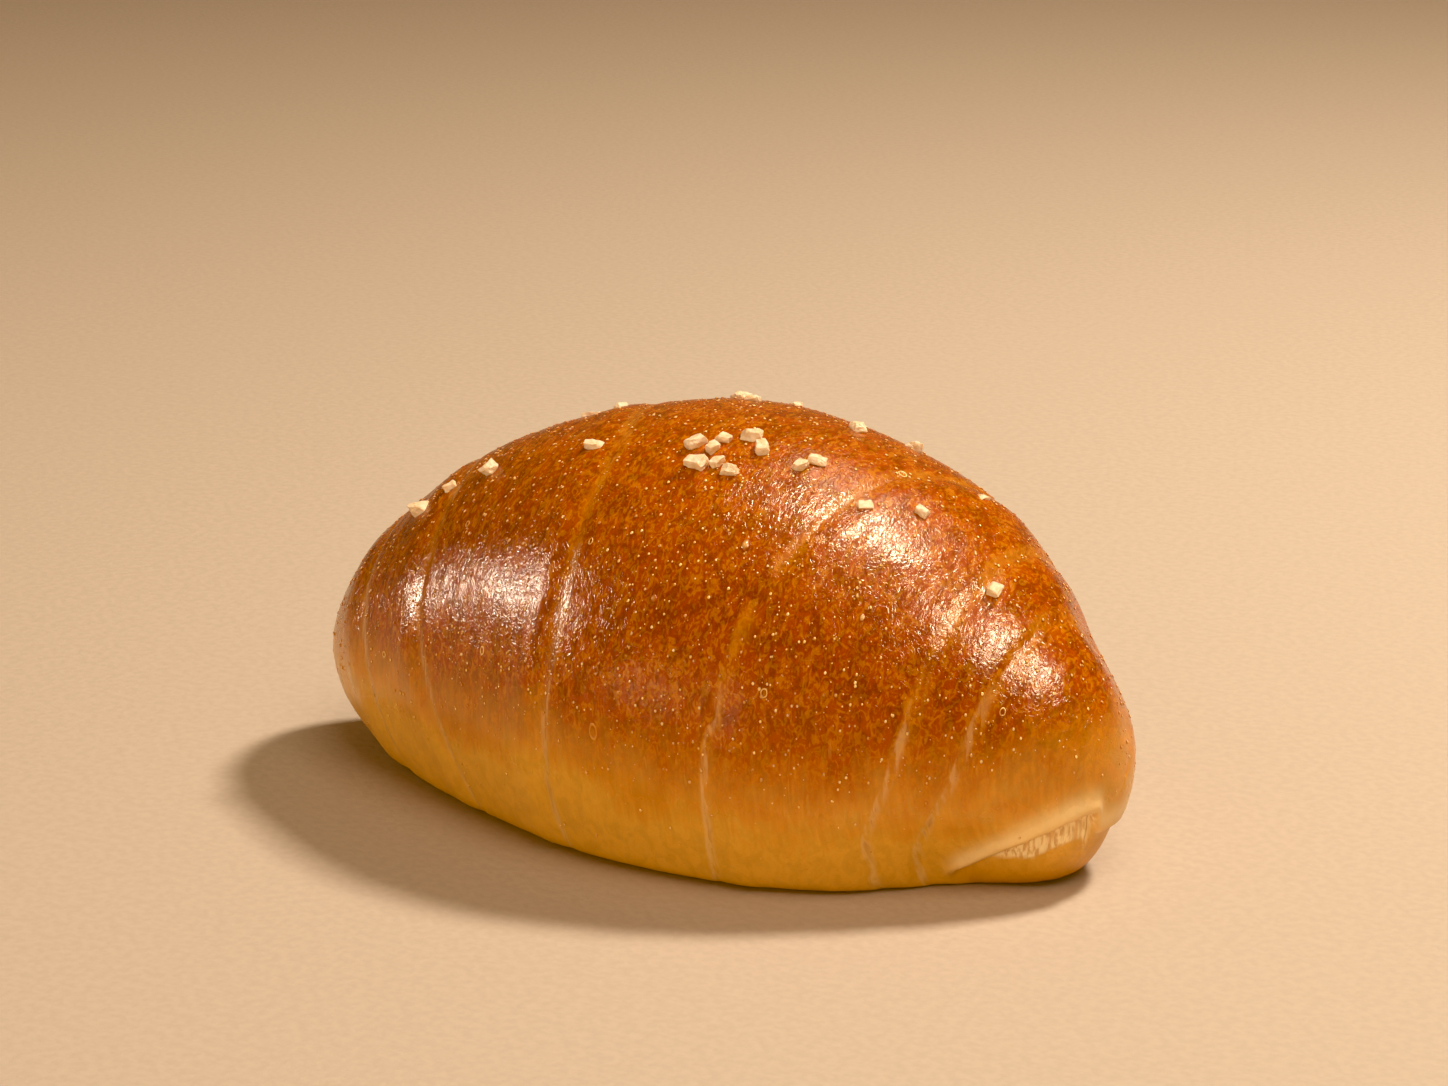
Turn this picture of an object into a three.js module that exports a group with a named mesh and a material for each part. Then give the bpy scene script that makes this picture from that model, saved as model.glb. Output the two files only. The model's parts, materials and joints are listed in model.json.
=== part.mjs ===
// Salt bread roll: a long triangle of dough rolled up towards its tip, then baked as one piece.
// It lies on its flat base with its length along +X, its crest up (+Z) and its two ends tapering.
// Coarse salt grains sit on the crest. Sizes are millimetres; angles are degrees.

import * as THREE from 'three';
import { ConvexGeometry } from 'three/addons/geometries/ConvexGeometry.js';

// Overall sizes of the baked roll
const ROLL_LENGTH = 124.8; // tip to tip
const ROLL_WIDTH = 68.6; // across the widest section
const CENTRE_HEIGHT = 21.4; // height of the middle section's centre over the base
const CREST_RISE = 36.1; // from that centre up to the crest
const END_DROOP = 6.1; // how far the centre line sinks from the middle to a tip
const BASE_EDGE = 3; // softness of the edge where the flat base begins
const SWAY = 0.45; // sideways bend of the centre line

// How full the section is along the roll, as [place, fullness]: place 0 is the left tip, 3 the
// middle and 6 the right tip
const WIDTH_FULLNESS = [[0, 0.84], [1, 0.82], [2, 0.86], [3, 1], [4, 0.97], [5, 0.81], [6, 0.92]];
const HEIGHT_FULLNESS = [[0, 0.77], [1, 0.84], [2, 0.925], [3, 1], [4, 1.03], [5, 1.035], [6, 0.88]];

// Each half shows the dough's edge as one seam that winds inwards, from near its end to the middle.
// Each point is [winding angle, distance from the middle as a share of the half length]; the
// winding angle is 0 at the top and grows by the front, the underside and the back.
const LEFT_SEAM = [
  [-90, 0.84], [0, 0.78], [55, 0.765], [90, 0.72], [127, 0.67], [250, 0.62], [360, 0.575], [412, 0.54],
  [444, 0.5], [483, 0.39], [630, 0.25], [720, 0.17], [740, 0.12], [780, 0.083], [830, 0.108], [900, 0.05],
];
const RIGHT_SEAM = [
  [-90, 0.92], [0, 0.85], [51, 0.8], [89, 0.745], [120, 0.67], [230, 0.66], [339, 0.735], [404, 0.695],
  [448, 0.64], [476, 0.58], [600, 0.56], [696, 0.57], [724, 0.475], [768, 0.355], [808, 0.28],
  [835, 0.262], [900, 0.16],
];
const SEAM_FADE_IN = 120; // degrees over which the seam deepens from nothing
const SEAM_FADE_OUT = 60; // degrees over which its last stretch fades away
const VALLEY_DEPTH = 0.8; // broad dip along a seam
const VALLEY_REACH = 5; // how far that dip spreads to each side
const STEP_HEIGHT = 0.5; // how proud the overlapping layer stands at its edge
const STEP_REACH = 6; // how far back from the edge the layer comes level again
const EDGE_WIDTH = 0.8; // width of the rounded edge itself

// Right end: the last turn of dough stands out of the roll below a crease
const CREASE_HEIGHT = 12.6; // highest point of the crease over the base
const CREASE_FOOT = 18; // how far in from the tip the crease meets the base
const CREASE_SLOPE = 0.8; // rise of the crease per millimetre towards the tip
const CREASE_BEND = 1.5; // rounding where the slope levels out
const FLAP_DROP = 3.5; // how much lower the crease runs round the tip
const FLAP_CORNER = -4.6; // sideways place where it drops
const FLAP_BEND = 0.8; // rounding of the drop
const FOLD_DEPTH = 1.3; // how far the dough steps in below the crease
const FOLD_EDGE = 0.7; // height over which it steps in
const FOLD_REACH = 5; // how far below the crease the last turn swells out again

// Local swellings and dents of the dough: [share of the half length, angle up from the front,
// reach along, reach round in degrees, height]
const SWELLINGS = [[0.72, -40, 9, 26, -3.4], [0.9, -80, 5, 40, 0.3], [0.875, 122, 5, 25, -1.3]];

// Salt grains
const GRAIN_SIZE = 2.4; // length of an ordinary grain
const GRAIN_GAP = 0.3; // clearance between a grain and the crust
// Grains lie singly or in loose groups. A group's centre is a share of the half length and an angle
// up from the front. Each grain is [along, round, size, turn]: its place from that centre and its
// length in ordinary grains, and the angle its long side is turned by.
const GRAIN_GROUPS = [
  { share: -0.661, angle: 61, grains: [[0, 0, 1.3, 0]] },
  { share: -0.588, angle: 66.5, grains: [[0, 0, 0.8, 30]] },
  { share: -0.463, angle: 65.5, grains: [[0, 0, 1, 50]] },
  { share: -0.182, angle: 67.5, grains: [[0, 0, 1.05, 0]] },
  {
    share: 0.13,
    angle: 68.5,
    grains: [
      [-1.75, 0.4, 1.15, 60], [-0.52, 0.15, 0.9, 70], [-0.35, 1.2, 0.85, 0], [0.96, 2, 1.2, 30],
      [2.04, 1.1, 1.05, 120], [-0.8, -1.38, 1.2, 0], [0.3, -0.95, 0.85, 80], [1.25, -1.3, 0.95, 10],
    ],
  },
  { share: 0.317, angle: 73, grains: [[-0.3, -0.5, 0.9, 75], [0.25, 0.55, 0.95, 20]] },
  { share: 0.463, angle: 68, grains: [[0, 0, 0.9, 40]] },
  { share: 0.558, angle: 75.5, grains: [[0, 0, 0.9, 0]] },
  { share: 0.736, angle: 66.5, grains: [[0, 0, 1, 100]] },
  { share: -0.33, angle: 101, grains: [[-1.6, 1.5, 1.05, 20], [1.7, -1.4, 0.9, 140]] },
  { share: 0.02, angle: 107, grains: [[-1.2, 0.2, 1.1, 60], [0.6, -1.9, 0.85, 10], [1.5, 1.9, 1, 110]] },
  { share: 0.36, angle: 103, grains: [[-1.3, -1.2, 0.95, 35], [1.3, 1.3, 1.05, 160]] },
  { share: 0.6, angle: 101, grains: [[0, 0, 0.9, 75]] },
];

// Fineness of the crust mesh
const CRUST_RINGS = 60;
const CRUST_SEGMENTS = 60;
const GRAIN_SEED = 7919; // start of the random numbers that shape the grains

const TIP_TO_TIP = 6; // place of the right tip in the two fullness curves
const RIGHT_ANGLE = 90;
const FULL_TURN = 360;
const clamp01 = (value) => Math.min(1, Math.max(0, value));
const radians = (degrees) => THREE.MathUtils.degToRad(degrees);

// Smooth curve through [place, value] points in order of place.
function smoothCurve(points, at) {
  const last = points.length - 1;
  let index = 0;
  while (index < last - 1 && points[index + 1][0] < at) index += 1;
  const slopeAt = (knot) => {
    const [place, value] = points[Math.max(knot - 1, 0)];
    const [nextPlace, nextValue] = points[Math.min(knot + 1, last)];
    return (nextValue - value) / (nextPlace - place);
  };
  const [start, startValue] = points[index];
  const [end, endValue] = points[index + 1];
  const span = end - start;
  const t = (at - start) / span;
  const rise = endValue - startValue;
  const [leave, arrive] = [slopeAt(index) * span, slopeAt(index + 1) * span];
  return startValue + t * (leave + t * (3 * rise - 2 * leave - arrive + t * (leave + arrive - 2 * rise)));
}

// Heights below the base are pressed flat onto it, with a soft edge.
function pressOntoBase(height) {
  if (height > BASE_EDGE) return height;
  if (height < -BASE_EDGE) return 0;
  return (height + BASE_EDGE) ** 2 / (4 * BASE_EDGE);
}

// Every turn of one half's seam at an angle round the roll: where its edge lies and how deep it is.
function seamEdges(seam, angle) {
  const winding = (((RIGHT_ANGLE - angle) % FULL_TURN) + FULL_TURN) % FULL_TURN;
  const [seamStart, seamEnd] = [seam[0][0], seam[seam.length - 1][0]];
  const edges = [];
  for (let turned = winding - FULL_TURN; turned <= seamEnd; turned += FULL_TURN) {
    if (turned < seamStart) continue;
    const place = (smoothCurve(seam, turned) * ROLL_LENGTH) / 2;
    const fadeIn = clamp01((turned - seamStart) / SEAM_FADE_IN);
    edges.push({ place, depth: fadeIn * clamp01((seamEnd - turned) / SEAM_FADE_OUT) });
  }
  return edges;
}

// How far the crust stands out from the plain shape because of the rolled layers.
function seamRelief(x, angle) {
  let relief = 0;
  for (const [seam, side] of [[LEFT_SEAM, -1], [RIGHT_SEAM, 1]]) {
    for (const { place, depth } of seamEdges(seam, angle)) {
      const outward = side * x - place;
      const valley = Math.exp(-Math.hypot(outward, EDGE_WIDTH) / VALLEY_REACH);
      const onLayer = Math.exp(outward / STEP_REACH);
      const offLayer = Math.exp(-((outward / EDGE_WIDTH) ** 2));
      const step = outward < 0 ? onLayer : offLayer;
      relief += depth * (STEP_HEIGHT * step - VALLEY_DEPTH * valley);
    }
  }
  return relief;
}

// How far the right end steps in below its crease.
function foldRelief(x, y, height) {
  const rise = CREASE_SLOPE * (x - (ROLL_LENGTH / 2 - CREASE_FOOT));
  const level = CREASE_HEIGHT - CREASE_BEND * Math.log1p(Math.exp((CREASE_HEIGHT - rise) / CREASE_BEND));
  const crease = level - FLAP_DROP / (1 + Math.exp((FLAP_CORNER - y) / FLAP_BEND));
  if (crease < 0) return 0;
  const stepped = 1 / (1 + Math.exp((height - crease) / (FOLD_EDGE / 2)));
  const swollen = 1 - Math.exp(-Math.max(0, crease - height) / FOLD_REACH);
  return -FOLD_DEPTH * stepped * (1 - swollen) * clamp01(crease / FOLD_DEPTH);
}

// How far the local swellings and dents move the crust out.
function swellingRelief(x, angle) {
  let relief = 0;
  for (const [share, middle, along, round, height] of SWELLINGS) {
    const sideways = (x - (share * ROLL_LENGTH) / 2) / along;
    const halfTurn = FULL_TURN / 2;
    const turned = ((angle - middle + FULL_TURN + halfTurn) % FULL_TURN) - halfTurn;
    relief += height * Math.exp(-(sideways ** 2) - (turned / round) ** 2);
  }
  return relief;
}

// Point of the crust. Along runs from 0 at the left tip to 1 at the right tip; the angle is 0 at
// the front (-Y), 90 at the crest and 180 at the back.
function crustPoint(along, angle) {
  const swing = Math.PI * along;
  const share = -Math.cos(swing);
  const taper = Math.sin(swing);
  const x = (share * ROLL_LENGTH) / 2;
  const halfWidth = (smoothCurve(WIDTH_FULLNESS, along * TIP_TO_TIP) * taper * ROLL_WIDTH) / 2;
  const halfHeight = smoothCurve(HEIGHT_FULLNESS, along * TIP_TO_TIP) * taper * CREST_RISE;
  const centreY = -SWAY * share ** 2;
  const centreZ = CENTRE_HEIGHT - END_DROOP * share ** 2;
  const across = Math.cos(radians(angle));
  const up = Math.sin(radians(angle));
  const plainZ = centreZ + halfHeight * up;
  const plainY = centreY - halfWidth * across;
  const slope = Math.hypot(across * halfHeight, up * halfWidth) || 1;
  const fade = Math.min(1, 1.5 * taper);
  const relief = fade * (seamRelief(x, angle) + foldRelief(x, plainY, plainZ) + swellingRelief(x, angle));
  const y = plainY - (relief * across * halfHeight) / slope;
  const z = plainZ + (relief * up * halfWidth) / slope;
  return new THREE.Vector3(x, y, pressOntoBase(z));
}

// Closed crust: rings of points between one point at each tip.
function makeRoll() {
  const points = [crustPoint(0, 0)];
  for (let ring = 1; ring < CRUST_RINGS; ring += 1) {
    for (let segment = 0; segment < CRUST_SEGMENTS; segment += 1) {
      points.push(crustPoint(ring / CRUST_RINGS, (FULL_TURN * segment) / CRUST_SEGMENTS));
    }
  }
  points.push(crustPoint(1, 0));
  const rightTip = points.length - 1;
  const at = (ring, segment) => 1 + (ring - 1) * CRUST_SEGMENTS + (segment % CRUST_SEGMENTS);
  const triangles = [];
  for (let segment = 0; segment < CRUST_SEGMENTS; segment += 1) {
    triangles.push(0, at(1, segment), at(1, segment + 1));
    for (let ring = 1; ring < CRUST_RINGS - 1; ring += 1) {
      const [a, b] = [at(ring, segment), at(ring + 1, segment)];
      const [c, d] = [at(ring + 1, segment + 1), at(ring, segment + 1)];
      triangles.push(a, b, c, a, c, d);
    }
    triangles.push(at(CRUST_RINGS - 1, segment), rightTip, at(CRUST_RINGS - 1, segment + 1));
  }
  const crust = new THREE.BufferGeometry().setFromPoints(points);
  crust.setIndex(triangles);
  crust.computeVertexNormals();
  const bakedDough = new THREE.MeshStandardMaterial({ color: 0xb5620f, roughness: 0.35, metalness: 0 });
  const roll = new THREE.Mesh(crust, bakedDough);
  roll.name = 'roll';
  return roll;
}

// Repeatable random numbers between 0 and 1.
function makeRandom(seed) {
  let state = seed;
  return () => {
    state = (state * 16807) % 2147483647;
    return state / 2147483647;
  };
}

// One salt crystal: a lumpy block standing on a flat face at height 0.
function grainShape(size, random) {
  const points = [];
  const vary = (least) => least + (1 - least) * random();
  for (const sideX of [-0.5, 0.5]) {
    for (const sideY of [-0.36, 0.36]) {
      points.push(new THREE.Vector3(sideX * vary(0.6), sideY * vary(0.6), 0));
      points.push(new THREE.Vector3(sideX * vary(0.5), sideY * vary(0.5), 0.72 * vary(0.7)));
      points.push(new THREE.Vector3(sideX * vary(0.8), sideY * vary(0.8), 0.36 * vary(0.5)));
    }
  }
  return new ConvexGeometry(points.map((point) => point.multiplyScalar(size)));
}

// Direction in which the crust faces at a spot.
function crustNormal(along, angle) {
  const nearby = 0.01;
  const wide = 2;
  const lengthwise = crustPoint(along + nearby, angle).sub(crustPoint(along - nearby, angle));
  const round = crustPoint(along, angle + wide).sub(crustPoint(along, angle - wide));
  return lengthwise.cross(round).normalize();
}

// A grain lies flat on the crust at its place in its group.
function makeGrain({ share, angle }, [sideways, round, relativeSize, turn], number, salt) {
  const grainShare = share + (sideways * GRAIN_SIZE) / (ROLL_LENGTH / 2);
  const grainAngle = angle + THREE.MathUtils.radToDeg((round * GRAIN_SIZE) / CREST_RISE);
  const along = Math.acos(-grainShare) / Math.PI;
  const normal = crustNormal(along, grainAngle);
  const shape = grainShape(GRAIN_SIZE * relativeSize, makeRandom(GRAIN_SEED * number));
  const grain = new THREE.Mesh(shape, salt);
  grain.position.copy(crustPoint(along, grainAngle)).addScaledVector(normal, GRAIN_GAP);
  grain.quaternion.setFromUnitVectors(new THREE.Vector3(0, 0, 1), normal);
  grain.rotateZ(radians(turn));
  grain.name = `salt_grain_${String(number).padStart(2, '0')}`;
  return grain;
}

// All the grains, numbered from 1.
function makeGrains() {
  const salt = new THREE.MeshStandardMaterial({ color: 0xf3dcb8, roughness: 0.5, metalness: 0 });
  const places = GRAIN_GROUPS.flatMap((group) => group.grains.map((grain) => [group, grain]));
  return places.map(([group, grain], index) => makeGrain(group, grain, index + 1, salt));
}

// The origin is the middle of the flat base.
function makeSaltBread() {
  const saltBread = new THREE.Group();
  const roll = makeRoll();
  saltBread.add(roll, ...makeGrains());
  const box = new THREE.Box3().setFromObject(roll);
  const middle = box.getCenter(new THREE.Vector3());
  saltBread.position.set(-middle.x, -middle.y, -box.min.z);
  return saltBread;
}

export default makeSaltBread();
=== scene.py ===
import json
import math

import bmesh
import bpy
import numpy as np
from bpy.props import FloatProperty, FloatVectorProperty, IntProperty, PointerProperty
from mathutils import Matrix, Vector, noise

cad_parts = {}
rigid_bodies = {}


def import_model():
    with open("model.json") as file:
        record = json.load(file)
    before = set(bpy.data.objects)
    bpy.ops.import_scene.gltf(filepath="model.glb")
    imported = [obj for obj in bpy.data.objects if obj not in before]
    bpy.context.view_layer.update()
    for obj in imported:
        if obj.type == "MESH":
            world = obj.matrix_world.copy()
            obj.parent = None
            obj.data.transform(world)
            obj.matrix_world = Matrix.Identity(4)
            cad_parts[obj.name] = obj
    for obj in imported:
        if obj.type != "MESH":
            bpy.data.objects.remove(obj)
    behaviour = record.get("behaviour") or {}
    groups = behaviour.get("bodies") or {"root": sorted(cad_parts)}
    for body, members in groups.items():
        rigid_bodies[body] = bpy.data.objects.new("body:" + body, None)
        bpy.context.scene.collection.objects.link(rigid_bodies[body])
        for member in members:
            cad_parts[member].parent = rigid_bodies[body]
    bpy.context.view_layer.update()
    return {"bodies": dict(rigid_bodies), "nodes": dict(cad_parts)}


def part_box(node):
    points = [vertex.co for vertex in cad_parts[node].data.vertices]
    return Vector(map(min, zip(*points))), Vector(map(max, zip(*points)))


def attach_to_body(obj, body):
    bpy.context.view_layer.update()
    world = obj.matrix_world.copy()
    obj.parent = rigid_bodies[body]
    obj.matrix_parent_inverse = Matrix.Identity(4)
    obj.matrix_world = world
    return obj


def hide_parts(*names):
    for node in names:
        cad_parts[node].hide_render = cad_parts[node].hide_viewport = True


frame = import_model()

bl_info = {
    "name": "Salt Bread Roll",
    "version": (1, 0, 0),
    "blender": (4, 5, 0),
    "location": "View3D > Sidebar > Bakery",
    "description": "Bakes a salt bread roll: wound crust, egg-wash blisters and coarse salt",
    "category": "Add Mesh",
}

MM = 0.001
ROLL_NODE = "roll"
BODY = next(iter(frame["bodies"]))
SALT_NODES = sorted(name for name in frame["nodes"] if name != ROLL_NODE)
ROLL_LOW, ROLL_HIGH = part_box(ROLL_NODE)
ROLL_SIZE = ROLL_HIGH - ROLL_LOW

# The plain shape: how full the section is along the roll, as (place, fullness). Place 0 is the
# left tip, 3 the middle and 6 the right tip.
TIP_TO_TIP = 6
WIDTH_FULLNESS = ((0, 0.84), (1, 0.82), (2, 0.86), (3, 1), (4, 0.97), (5, 0.81), (6, 0.92))
HEIGHT_FULLNESS = ((0, 0.77), (1, 0.84), (2, 0.925), (3, 1), (4, 1.03), (5, 1.035), (6, 0.88))

# Each half shows the dough's edge as one seam that winds inwards, as (winding angle, share of the
# half length). The winding angle is 0 at the top and grows by the front, underside and back.
LEFT_SEAM = (
    (-90, 0.84), (0, 0.78), (55, 0.765), (90, 0.72), (127, 0.67), (250, 0.62), (360, 0.575), (412, 0.54),
    (444, 0.5), (483, 0.39), (630, 0.25), (720, 0.17), (740, 0.12), (780, 0.083), (830, 0.108), (900, 0.05),
)
RIGHT_SEAM = (
    (-90, 0.92), (0, 0.85), (51, 0.8), (89, 0.745), (120, 0.67), (230, 0.66), (339, 0.735), (404, 0.695),
    (448, 0.64), (476, 0.58), (600, 0.56), (696, 0.57), (724, 0.475), (768, 0.355), (808, 0.28),
    (835, 0.262), (900, 0.16),
)
SEAM_FADE_IN = 120
SEAM_FADE_OUT = 60
SEAM_TURNS = range(-1, 3)

# Profile across a seam, in millimetres past the layer's edge: (middle, reach) or a reach alone
VALLEY_REACH = 5
VALLEY_FLOOR = 0.8
LAYER_REACH = 6
EDGE_REACH = 1.3
GROOVE_LINE = (0.6, 0.7)
SHOULDER_LINE = (4, 3.2)
CRACK_LINE = (0.5, 0.35)
BARE_OUTSIDE = 2
BARE_ON_LAYER = 0.6

# Right end, in millimetres: the crease climbs from its foot towards the tip, levels out at its
# height and drops past the flap's corner; the torn crumb hangs below it, before the corner
CREASE_HEIGHT = 12.6
CREASE_FOOT = 18
CREASE_SLOPE = 0.8
CREASE_BEND = 1.5
FLAP_DROP = 3.5
FLAP_CORNER = -4.6
FLAP_BEND = 0.4
FOLD_EDGE = 0.13
FOLD_START = 1.5
FOLD_REACH = 4
LIP_RISE = 0.35
FIBRE_RISE = 0.35
TORN_LEAST = 0.6
TORN_MOST = 3.1
TORN_START = 14
TORN_TAPER = 6

# Local swellings and dents: share of the half length, angle up from the front, reach along in
# millimetres, reach round in degrees, height in millimetres
SWELLINGS = ((0.72, -40, 9, 26, -3.4), (0.9, -80, 5, 40, 0.3), (0.875, 122, 5, 25, -1.3))

LARGE_BLISTER_RINGS = 7
LARGE_BLISTER_SEGMENTS = 18
# A ring's crest and its width, as shares of the blister's reach
CREST_PLACE, CREST_WIDTH = 0.72, 0.17
# How deep a large blister stands in the crust, and how much deeper its rim, in millimetres
BLISTER_SINK, RIM_SINK = 0.06, 0.1
# Large blisters: share of the half length, angle, length along and round in millimetres, height in
# millimetres, and whether it is a ring (1) or a drop (0)
LARGE_BLISTERS = (
    (0.287, 45.8, 1.3, 2.0, 0.6, 0), (0.024, 0, 1.5, 2.9, 0.16, 1), (0.479, 86, 1.6, 1.4, 0.2, 1),
    (-0.655, 6, 1.0, 1.1, 0.16, 1), (0.465, 66, 1.2, 1.6, 0.3, 0), (0.396, 15.3, 1.1, 1.6, 0.16, 1),
    (-0.31, 12, 0.9, 1.5, 0.16, 1), (0.82, 26, 1.0, 1.4, 0.2, 1), (0.13, 30, 0.9, 1.2, 0.25, 0),
    (-0.06, 40, 0.8, 1.2, 0.2, 1), (0.55, 38, 0.9, 1.3, 0.25, 0), (-0.45, 45, 0.9, 1.2, 0.2, 1),
)

BLISTER_SEED = 11

# Salt crystals: lengths in millimetres
CHIPPED_CORNERS = 4
BEVEL = 0.07
SHORTEST_EDGE = 0.03
LONGEST_EDGE = 0.32
CHIP_SIZE, CHIP_DEPTH = 0.8, 0.2
PIT_SIZE, PIT_DEPTH = 0.3, 0.1
# Shares of a crystal's own size: how much it grows, and how much lower its top then sits
CRYSTAL_GROWTH = 0.14
CRYSTAL_FLATTENING = 0.2

CAMERA_SHIFT = (0.0064, 0.0624)
LAMP_AIM = Vector((0, 0, 0.03))
FLOOR_RADIUS = 3
FLOOR_GAP = 0.1 * MM


# ---------------------------------------------------------------- settings


class CrustShape(bpy.types.PropertyGroup):
    """Sizes of the roll and of its relief"""

    length: FloatProperty(
        name="Length", description="Tip to tip", default=ROLL_SIZE.x, unit="LENGTH")
    width: FloatProperty(
        name="Width", description="Across the widest section", default=ROLL_SIZE.y, unit="LENGTH")
    height: FloatProperty(
        name="Height", description="Base to crest", default=ROLL_SIZE.z, unit="LENGTH")
    centre_height: FloatProperty(
        name="Centre height", description="Middle section's centre over the base",
        default=21.4 * MM, unit="LENGTH")
    end_droop: FloatProperty(
        name="End droop", description="How far the centre line sinks towards the tips",
        default=6.1 * MM, unit="LENGTH")
    base_edge: FloatProperty(
        name="Base edge", description="Softness of the flat base's edge", default=3 * MM, unit="LENGTH")
    seam_step: FloatProperty(
        name="Seam step", description="How proud a layer stands at its edge",
        default=0.6 * MM, unit="LENGTH")
    seam_valley: FloatProperty(
        name="Seam valley", description="Broad dip along a seam", default=0.8 * MM, unit="LENGTH")
    shoulder: FloatProperty(
        name="Shoulder", description="Bulge of the dough just past a seam",
        default=0.5 * MM, unit="LENGTH")
    seam_groove: FloatProperty(
        name="Seam groove", description="Narrow line where two layers meet",
        default=0.3 * MM, unit="LENGTH")
    fold_depth: FloatProperty(
        name="Fold depth", description="How far the right end steps in below its crease",
        default=1.3 * MM, unit="LENGTH")
    lump: FloatProperty(
        name="Lumps", description="Height of the crust's broad unevenness",
        default=0.4 * MM, unit="LENGTH")
    rings: IntProperty(name="Rings", description="Rings of crust along the roll", default=400)
    segments: IntProperty(name="Segments", description="Points round each ring", default=236)


class BakeColours(bpy.types.PropertyGroup):
    """Colours of crust, crumb, blisters and salt, from underbaked to well done"""

    base: FloatVectorProperty(
        name="Base", description="Pale dough next to the base", subtype="COLOR",
        default=(0.61, 0.285, 0.042), min=0, max=1)
    gold: FloatVectorProperty(
        name="Gold", description="Golden lower side", subtype="COLOR",
        default=(0.52, 0.19, 0.024), min=0, max=1)
    amber: FloatVectorProperty(
        name="Amber", description="Amber above the golden side", subtype="COLOR",
        default=(0.41, 0.12, 0.012), min=0, max=1)
    brown: FloatVectorProperty(
        name="Brown", description="Darkest band of the crust", subtype="COLOR",
        default=(0.3, 0.041, 0.003), min=0, max=1)
    chestnut: FloatVectorProperty(
        name="Chestnut", description="Orange brown along the crest", subtype="COLOR",
        default=(0.31, 0.046, 0.004), min=0, max=1)
    fleck: FloatVectorProperty(
        name="Fleck", description="Amber flecks over the brown", subtype="COLOR",
        default=(0.56, 0.2, 0.01), min=0, max=1)
    seam: FloatVectorProperty(
        name="Seam", description="Paler dough that a seam laid bare", subtype="COLOR",
        default=(0.56, 0.2, 0.02), min=0, max=1)
    # The crumb colour also paints the lip's paler dough and the painted highlight along it
    crumb: FloatVectorProperty(
        name="Crumb", description="Torn crumb at the end fold", subtype="COLOR",
        default=(0.9, 0.64, 0.3), min=0, max=1)
    # The blister colour is the pale cap on each bead: a painted highlight over the egg wash
    blister: FloatVectorProperty(
        name="Blister", description="Egg-wash blisters", subtype="COLOR",
        default=(0.93, 0.6, 0.2), min=0, max=1)
    salt: FloatVectorProperty(
        name="Salt", description="Salt crystals", subtype="COLOR",
        default=(0.8, 0.58, 0.35), min=0, max=1)


class Toppings(bpy.types.PropertyGroup):
    """Blisters and salt"""

    blister_density: FloatProperty(
        name="Blisters per square metre", description="Where the crust is most blistered",
        default=330000)
    blister_least: FloatProperty(
        name="Least blister", description="Radius of the smallest blister",
        default=0.09 * MM, unit="LENGTH", precision=5)
    blister_most: FloatProperty(
        name="Largest blister", description="Radius of the largest blister",
        default=0.26 * MM, unit="LENGTH", precision=5)
    salt_sink: FloatProperty(
        name="Salt sink", description="How far a grain is pressed towards the crust",
        default=0.45 * MM, unit="LENGTH", precision=5)


class Studio(bpy.types.PropertyGroup):
    """Camera, floor and lamps"""

    view_turn: FloatProperty(
        name="View turn", description="Camera's turn from the front towards +X",
        default=math.radians(30), subtype="ANGLE")
    view_rise: FloatProperty(
        name="View rise", description="Camera's angle above the floor",
        default=math.radians(18), subtype="ANGLE")
    distance: FloatProperty(
        name="Distance", description="Camera to the point it aims at", default=0.5, unit="LENGTH")
    aim_height: FloatProperty(
        name="Aim height", description="Height of the point it aims at", default=0.025, unit="LENGTH")
    lens: FloatProperty(
        name="Lens", description="Focal length", default=89.5, subtype="DISTANCE_CAMERA")
    floor: FloatVectorProperty(
        name="Floor", description="Pale warm floor", subtype="COLOR",
        default=(0.49, 0.37, 0.26), min=0, max=1)
    black_level: FloatVectorProperty(
        name="Black level", description="Deepest red, green and blue that still show", subtype="COLOR",
        default=(0.0, 0.003, 0.014), min=0, max=1)
    ambient: FloatVectorProperty(
        name="Ambient", description="Colour of the room's light", subtype="COLOR",
        default=(1.0, 0.58, 0.27), min=0, max=1)
    ambient_strength: FloatProperty(
        name="Ambient strength", description="Brightness of the room's light", default=0.24)


GROUPS = {"crust_shape": CrustShape, "bake_colours": BakeColours, "toppings": Toppings, "studio": Studio}


# ---------------------------------------------------------------- shader writing


class Wire:
    """A number in a shader: + - * / on wires and numbers add Math nodes"""

    def __init__(self, sheet, socket):
        self.sheet = sheet
        self.socket = socket

    def _math(self, operation, *values):
        return self.sheet.node("ShaderNodeMath", {"operation": operation}, dict(enumerate(values)))

    def __add__(self, other):
        return self._math("ADD", self, other)

    def __sub__(self, other):
        return self._math("SUBTRACT", self, other)

    def __rsub__(self, other):
        return self._math("SUBTRACT", other, self)

    def __mul__(self, other):
        return self._math("MULTIPLY", self, other)

    def __truediv__(self, other):
        return self._math("DIVIDE", self, other)

    __radd__ = __add__
    __rmul__ = __mul__

    def magnitude(self):
        return self._math("ABSOLUTE", self)

    def fade(self, low, high, low_value=0.0, high_value=1.0):
        """Smooth change from low_value at low to high_value at high"""
        return self.sheet.node(
            "ShaderNodeMapRange", {"interpolation_type": "SMOOTHSTEP"},
            {0: self, 1: low, 2: high, 3: low_value, 4: high_value})


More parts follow.
